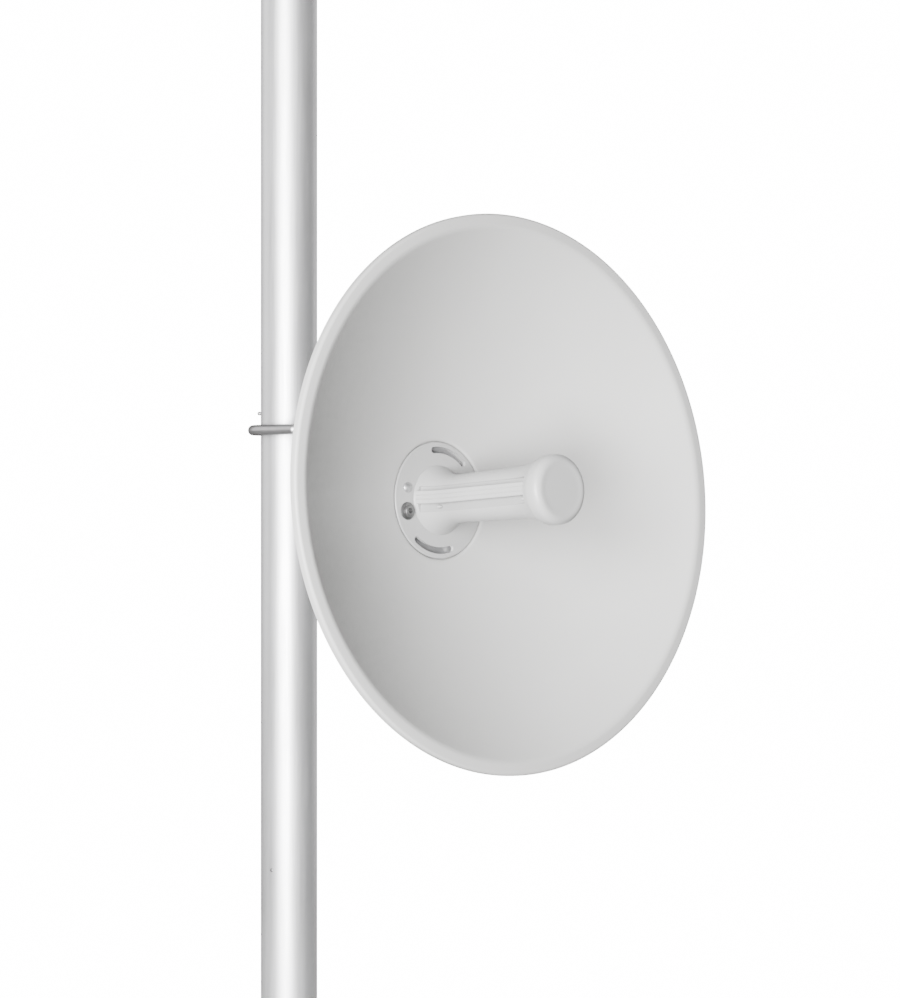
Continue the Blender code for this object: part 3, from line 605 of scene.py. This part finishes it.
def ring_of(radius, height):
    """A ring of points; the radius may depend on the angle, and the height on the radius."""
    points = []
    for index in range(RING_STEPS):
        angle = math.tau * index / RING_STEPS
        out = radius(angle) if callable(radius) else radius
        level = height(out) if callable(height) else height
        points.append(Vector((out * math.cos(angle), out * math.sin(angle), level)))
    return points


def hexagon(half_flats):
    """A hexagon's radius as it depends on the angle."""
    return lambda angle: half_flats / math.cos(angle % (math.tau / 6) - math.tau / 12)


def hex_rings(size):
    """A chamfered hexagon that stands on z = 0 on a collar like a washer."""
    across_flats, height, collar = size
    top = HEXAGON_TOP * across_flats / 2
    edge = 0.0003
    sides = hexagon(across_flats / 2)
    return [
        ring_of(collar - edge, 0.0),
        ring_of(collar, edge),
        ring_of(collar, COLLAR - edge),
        ring_of(collar - edge, COLLAR),
        ring_of(sides, COLLAR),
        ring_of(sides, lambda radius: height - (radius - top) * HEXAGON_SLOPE),
        ring_of(top, height),
    ]


def thread(radius, start, end, pitch):
    """(radius, height) points of a threaded stretch, from start to end."""
    root = radius - THREAD_DEPTH * pitch
    turns = int(abs(end - start) / pitch)
    points = []
    for index in range(turns):
        height = start + (end - start) * index / turns
        points += [(root, height), (radius, height + (end - start) * 0.5 / turns)]
    return points + [(root, end)]


def join(*parts):
    """Puts several closed meshes into one."""
    whole = bmesh.new()
    for part in parts:
        mesh = bpy.data.meshes.new("part")
        part.to_mesh(mesh)
        part.free()
        whole.from_mesh(mesh)
        bpy.data.meshes.remove(mesh)
    return whole


def nut(bore, size):
    """A hexagon nut with a chamfered bore, on its collar."""
    height = size[1]
    edge = 0.0004
    rings = [ring_of(bore, edge), ring_of(bore + edge, 0.0)] + hex_rings(size)
    rings += [ring_of(bore + edge, height), ring_of(bore, height - edge)]
    return loft(rings + rings[:1], capped=False)


def bolt(shank, length, head, thread_size):
    """A bolt whose head's seat is z = 0, with a thread at the end of its shank."""
    pitch, threaded = thread_size
    rod = [(0, -length), (shank - BOLT_TAPER, -length)]
    rod += thread(shank, THREAD_LEAD - length, threaded - length, pitch)
    rod += [(shank, threaded - length + THREAD_LEAD), (shank, 0.0), (0, 0.0)]
    return join(lathe(rod, SHANK_STEPS), head)


def round_head(edge, centre, radius, start, steps):
    """A domed head: up its edge, then over an arc that starts at the given angle."""
    return lathe([(0, 0), *edge, *arc((0.0, centre), radius, start, 90.0, steps)], HEAD_STEPS)


def add_nut(name, bore, size, body, matrix):
    """A fine nut in place of the CAD node of that name."""
    add_piece(f"{name}_fine", nut(bore, size), matrix, body, "zinc_steel", [name])


def add_u_bolt():
    """A round rod bent round the mast and threaded at both ends."""
    bend = MAST_RADIUS + GAP + ROD_RADIUS - ROD_SPACING
    leg_end = -(WEB_REACH + ROD_END)
    pitch, threaded = ROD_THREAD
    line = [(ROD_RADIUS - ROD_TAPER, leg_end)]
    line += thread(ROD_RADIUS, leg_end + THREAD_LEAD, leg_end + threaded, pitch)
    line += [(ROD_RADIUS, leg_end + threaded + THREAD_LEAD), (ROD_RADIUS, bend)]
    leg = [(Vector((ROD_SPACING, y, 0.0)), Vector((1.0, 0.0, 0.0)), radius) for radius, y in line]
    stations = list(leg)
    for index in range(1, BEND_STEPS):
        angle = math.pi * index / BEND_STEPS
        out = Vector((math.cos(angle), math.sin(angle), 0.0))
        stations.append((Vector((0.0, bend, 0.0)) + ROD_SPACING * out, out, ROD_RADIUS))
    mirror = Vector((-1.0, 1.0, 1.0))
    stations += [(place * mirror, -out, radius) for place, out, radius in reversed(leg)]
    up = Vector((0.0, 0.0, 1.0))
    turns = [math.tau * index / ROD_SIDES for index in range(ROD_SIDES)]
    rings = []
    for place, out, radius in stations:
        rings.append([place + radius * (math.cos(a) * out + math.sin(a) * up) for a in turns])
    matrix = Matrix.Translation((0.0, 0.0, CLAMP_HEIGHT))
    add_piece("u_bolt_fine", loft(rings), matrix, "clamp", "rod_steel", ["u_bolt"])


def add_rod_nuts():
    """A washer and a nut on each leg of the U-bolt."""
    bore = ROD_RADIUS + GAP
    seat = WEB_REACH + SHEET + GAP
    edge = 0.00025
    outline = [(bore, 0), (ROD_WASHER_RADIUS - edge, 0), (ROD_WASHER_RADIUS, edge)]
    outline += [(ROD_WASHER_RADIUS, ROD_WASHER - edge), (ROD_WASHER_RADIUS - edge, ROD_WASHER)]
    outline += [(bore, ROD_WASHER)]
    for side, sign in (("left", -1), ("right", 1)):
        name = f"u_bolt_washer_{side}"
        place = clamp_place((0, -1, 0), (sign * ROD_SPACING, -seat, 0.0))
        fine = lathe(outline, WASHER_STEPS)
        add_piece(f"{name}_fine", fine, place, "clamp", "zinc_steel", [name])
        place = clamp_place((0, -1, 0), (sign * ROD_SPACING, -(seat + ROD_WASHER + GAP), 0.0))
        add_nut(f"u_bolt_nut_{side}", bore, ROD_NUT, "clamp", place)


def add_tilt_hardware():
    """The cross bolt that the head tilts on, and the two bolts that lock it."""
    outside = TILT_CHEEK + SHEET + GAP
    place = clamp_place((-1, 0, 0), (-outside, -PIVOT_REACH, 0.0))
    head = loft(hex_rings(PIVOT_HEAD))
    rod = bolt(PIVOT_BOLT_RADIUS, 2 * outside + PIVOT_END, head, PIVOT_THREAD)
    add_piece("pivot_bolt_fine", rod, place, "clamp", "zinc_steel", ["pivot_bolt"])
    place = clamp_place((1, 0, 0), (outside, -PIVOT_REACH, 0.0))
    add_nut("pivot_nut", PIVOT_BOLT_RADIUS + GAP, PIVOT_NUT, "clamp", place)

    inside = POLE_CHEEK - GAP
    length = outside - inside + LOCK_END
    y, z = -PIVOT_REACH + LOCK_OFFSET[0], LOCK_OFFSET[1]
    for side, sign in (("left", -1), ("right", 1)):
        name = f"lock_bolt_{side}"
        place = clamp_place((-sign, 0, 0), (sign * inside, y, z))
        rod = bolt(LOCK_BOLT_RADIUS, length, round_head(*LOCK_HEAD), LOCK_THREAD)
        add_piece(f"{name}_fine", rod, place, "clamp", "zinc_steel", [name])
        place = clamp_place((sign, 0, 0), (sign * outside, y, z))
        add_nut(f"lock_nut_{side}", LOCK_BOLT_RADIUS + GAP, LOCK_NUT, "clamp", place)


def socket_head():
    """A dark screw head with a hexagon socket, on a washer."""
    top = SOCKET_SIDE[-1][1]
    edge = 0.0002
    below_edge = 0.0038
    floor = 0.0018
    socket = hexagon(SOCKET)
    washer = [(0, 0), *SOCKET_WASHER, (0, SOCKET_WASHER[-1][1])]
    rings = [ring_of(radius, height) for radius, height in SOCKET_SIDE]
    rings.append(ring_of(lambda angle: socket(angle) + edge, top))
    rings += [ring_of(socket, below_edge), ring_of(socket, floor)]
    return join(lathe(washer, WASHER_STEPS), loft(rings))


def add_hub_bolts():
    """Four through bolts in the hub: two round heads and two socket heads with washers."""
    seat = -FLANGE_FACE + GAP
    length = seat - PLATE_BACK + HUB_END
    for side, sign in (("left", -1), ("right", 1)):
        for level, (radius, angle) in HUB_BOLTS.items():
            turn = math.radians(angle - sign * HUB_TURN)
            x, y = sign * radius * math.cos(turn), radius * math.sin(turn)
            if level == "upper":
                head, slot = round_head(*HUB_HEAD), "zinc_steel"
            else:
                head, slot = socket_head(), "dark_steel"
            name = f"hub_bolt_{level}_{side}"
            rod = bolt(HUB_BOLT_RADIUS, length, head, HUB_THREAD)
            place = DISH @ Matrix.Translation((x, y, seat))
            add_piece(f"{name}_fine", rod, place, "head", slot, [name])
            place = DISH @ facing((0, 0, -1), (x, y, PLATE_BACK))
            add_nut(f"hub_nut_{level}_{side}", HUB_BOLT_RADIUS + GAP, HUB_NUT, "head", place)
    place = DISH @ facing((0, 0, -1), (*GROUNDING_PLACE, PLATE_BACK))
    head = loft(hex_rings(GROUNDING_HEAD))
    add_piece("grounding_screw_fine", head, place, "head", "dark_steel", ["grounding_screw"])


def radio_ring(radius, height, flat=True):
    """A ring round the radio, cut straight along its underside where it is flat."""
    low = -RADIO_FLAT if flat else -radius
    points = []
    for index in range(ROUND_STEPS):
        angle = math.tau * index / ROUND_STEPS
        points.append(Vector((radius * math.cos(angle), max(low, radius * math.sin(angle)), height)))
    return points


def add_radio():
    """The radio's round housing, with a flat on its underside and a parting groove round it."""
    edge = 0.0006
    groove = 0.0008
    groove_place = 0.010
    middle = RADIO_FLAT_END + groove_place
    rings = [radio_ring(RADIO_RADIUS - edge, RADIO_REAR)]
    rings += [radio_ring(RADIO_RADIUS, height) for height in (RADIO_REAR + edge, RADIO_FLAT_END)]
    rings += [radio_ring(RADIO_RADIUS, RADIO_FLAT_END, False)]
    for radius, height in (
        (RADIO_RADIUS, middle - groove), (RADIO_RADIUS - groove, middle - groove / 2),
        (RADIO_RADIUS - groove, middle + groove / 2), (RADIO_RADIUS, middle + groove),
        (RADIO_RADIUS, RADIO_FRONT - edge), (RADIO_RADIUS - edge, RADIO_FRONT),
    ):
        rings.append(radio_ring(radius, height, False))
    add_piece("radio_housing_fine", loft(rings), DISH, "head", "radio_plastic", ["radio_housing"])


def add_rear_cover():
    """The radio's rear cover with a shallow recess, and the screws that hold it."""
    top = RADIO_REAR - GAP
    rear = top - COVER_THICKNESS
    outer = RADIO_RADIUS + COVER_OVERHANG
    rounding = COVER_THICKNESS - 0.003
    edge = 0.0004
    recess = 0.0006
    recess_inner, recess_outer = 0.0205, 0.0212
    screw_depth = 0.0004
    cover = [(0, rear + recess), (recess_inner, rear + recess), (recess_outer, rear)]
    cover += [(outer - rounding, rear)]
    cover += arc((outer - rounding, rear + rounding), rounding, -90.0, 0.0, 12)[1:]
    cover += [(outer, top - edge), (outer - edge, top), (0, top)]
    fine = lathe(cover, ROUND_STEPS)
    add_piece("rear_cover_fine", fine, DISH, "head", "radio_plastic", ["radio_rear_cover"])
    for index in range(COVER_SCREWS):
        angle = math.tau * (index + 0.5) / COVER_SCREWS
        x, y = COVER_SCREW_PLACE * math.cos(angle), COVER_SCREW_PLACE * math.sin(angle)
        place = DISH @ facing((0, 0, -1), (x, y, rear + screw_depth))
        screw = loft([ring_of(radius, height) for radius, height in COVER_SCREW])
        add_piece(f"cover_screw_{index + 1}", screw, place, "head", "dark_steel", [])


def add_cable_gland():
    """The gland under the radio: a round foot, a hexagon, a ribbed nut and an open mouth."""
    base, top, mouth = 0.002, 0.007, 0.0165
    chamfer_slope = 0.5
    ribs, rib_radius, rib_height = 16, 0.0066, 0.0002
    sides = hexagon(GLAND_HEXAGON / 2)

    def chamfer(radius):
        return top - chamfer_slope * (radius - GLAND_HEXAGON / 2)

    def ribbed(angle):
        return rib_radius + rib_height * math.cos(ribs * angle)

    rings = [ring_of(radius, height) for radius, height in (
        (GLAND_FOOT, 0.0), (GLAND_FOOT, base), (sides, base), (sides, chamfer), (0.0074, top),
        (ribbed, top), (ribbed, 0.0136), (0.0062, 0.0142), (0.0052, mouth), (0.0036, mouth),
        (0.0034, 0.0160), (0.0034, 0.006),
    )]
    place = DISH @ facing((0, -1, 0), (0, -RADIO_FLAT - GAP, GLAND_PLACE))
    add_piece("cable_gland_fine", loft(rings), place, "head", "black_plastic", ["cable_gland"])


def soften_edges(frame):
    """Rounds the cut edges of the sheet metal a little."""
    for name in ("pole_bracket", "tilt_bracket", "mounting_ring"):
        bevel = frame["nodes"][name].modifiers.new("soft_edge", "BEVEL")
        bevel.width = 0.0004
        bevel.segments = 2
        bevel.limit_method = "ANGLE"
        bevel.angle_limit = math.radians(40)


def add_stage():
    """A pale floor under the mast that fades into the white round it."""
    bm = bmesh.new()
    bmesh.ops.create_circle(bm, cap_ends=True, radius=FLOOR_RADIUS, segments=128)
    mesh = bpy.data.meshes.new("studio_floor")
    bm.to_mesh(mesh)
    bm.free()
    floor = bpy.data.objects.new("studio_floor", mesh)
    bpy.context.scene.collection.objects.link(floor)
    finish = Finish("studio_floor", (0.86, 0.86, 0.86), roughness=0.9)
    nodes, links = finish.nodes, finish.links
    distance = nodes.new("ShaderNodeVectorMath")
    distance.operation = "LENGTH"
    links.new(finish.place, distance.inputs[0])
    fade = finish.spread(distance.outputs["Value"], 1.0, 0.0, 0.0, FLOOR_RADIUS)
    links.new(fade, finish.shader.inputs["Alpha"])
    mesh.materials.append(finish.material)


def add_world():
    """White behind the object, and a dimmer even light on it."""
    world = bpy.data.worlds.new("studio")
    bpy.context.scene.world = world
    world.use_nodes = True
    nodes, links = world.node_tree.nodes, world.node_tree.links
    nodes.clear()
    seen = nodes.new("ShaderNodeBackground")
    seen.inputs["Strength"].default_value = SEEN_WHITE
    seen.inputs["Color"].default_value = (1.0, 1.0, 1.0, 1.0)
    light = nodes.new("ShaderNodeBackground")
    light.inputs["Strength"].default_value = EVEN_LIGHT
    light.inputs["Color"].default_value = (1.0, 1.0, 1.0, 1.0)
    path = nodes.new("ShaderNodeLightPath")
    mix = nodes.new("ShaderNodeMixShader")
    out = nodes.new("ShaderNodeOutputWorld")
    links.new(path.outputs["Is Camera Ray"], mix.inputs["Fac"])
    links.new(light.outputs["Background"], mix.inputs[1])
    links.new(seen.outputs["Background"], mix.inputs[2])
    links.new(mix.outputs["Shader"], out.inputs["Surface"])


def add_softboxes():
    """Soft lamps round the object, mostly from the front left, as in the photo."""
    for name, (turn, rise, size, power) in SOFTBOXES.items():
        data = bpy.data.lights.new(name, "AREA")
        data.shape = "RECTANGLE"
        data.size, data.size_y = size
        data.energy = power
        around, up = math.radians(turn), math.radians(rise)
        level = math.cos(up)
        out = Vector((-math.sin(around) * level, -math.cos(around) * level, math.sin(up)))
        lamp = bpy.data.objects.new(name, data)
        lamp.location = LIT_POINT + LIGHT_DISTANCE * out
        lamp.rotation_euler = (-out).to_track_quat("-Z", "Y").to_euler()
        lamp.visible_camera = False
        bpy.context.scene.collection.objects.link(lamp)


def add_camera():
    """The photo's viewpoint, as worked out from the rim's ellipse and the mast."""
    data = bpy.data.cameras.new("camera")
    data.lens = CAMERA_LENS
    data.sensor_width = 36.0
    data.clip_start = 0.05
    data.clip_end = 200.0
    camera = bpy.data.objects.new("camera", data)
    camera.location = CAMERA_PLACE
    camera.rotation_euler = (math.pi / 2, 0.0, -CAMERA_YAW)
    bpy.context.scene.collection.objects.link(camera)
    bpy.context.scene.camera = camera


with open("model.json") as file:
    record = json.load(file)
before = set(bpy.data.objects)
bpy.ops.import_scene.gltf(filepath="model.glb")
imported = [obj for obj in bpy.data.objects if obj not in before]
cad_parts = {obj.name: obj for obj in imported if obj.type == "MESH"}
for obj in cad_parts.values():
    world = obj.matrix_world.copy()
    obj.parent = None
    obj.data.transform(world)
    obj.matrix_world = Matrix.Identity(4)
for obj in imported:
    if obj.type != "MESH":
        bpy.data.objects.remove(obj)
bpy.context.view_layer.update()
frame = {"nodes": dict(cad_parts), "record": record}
add_camera()
MATERIALS = {slot: make() for slot, make in FINISHES.items()}
dress_nodes(frame)
add_mast()
add_reflector()
add_feed_body()
add_seam_strips()
add_catches()
add_u_bolt()
add_rod_nuts()
add_tilt_hardware()
add_hub_bolts()
add_radio()
add_rear_cover()
add_cable_gland()
soften_edges(frame)
add_stage()
add_world()
add_softboxes()
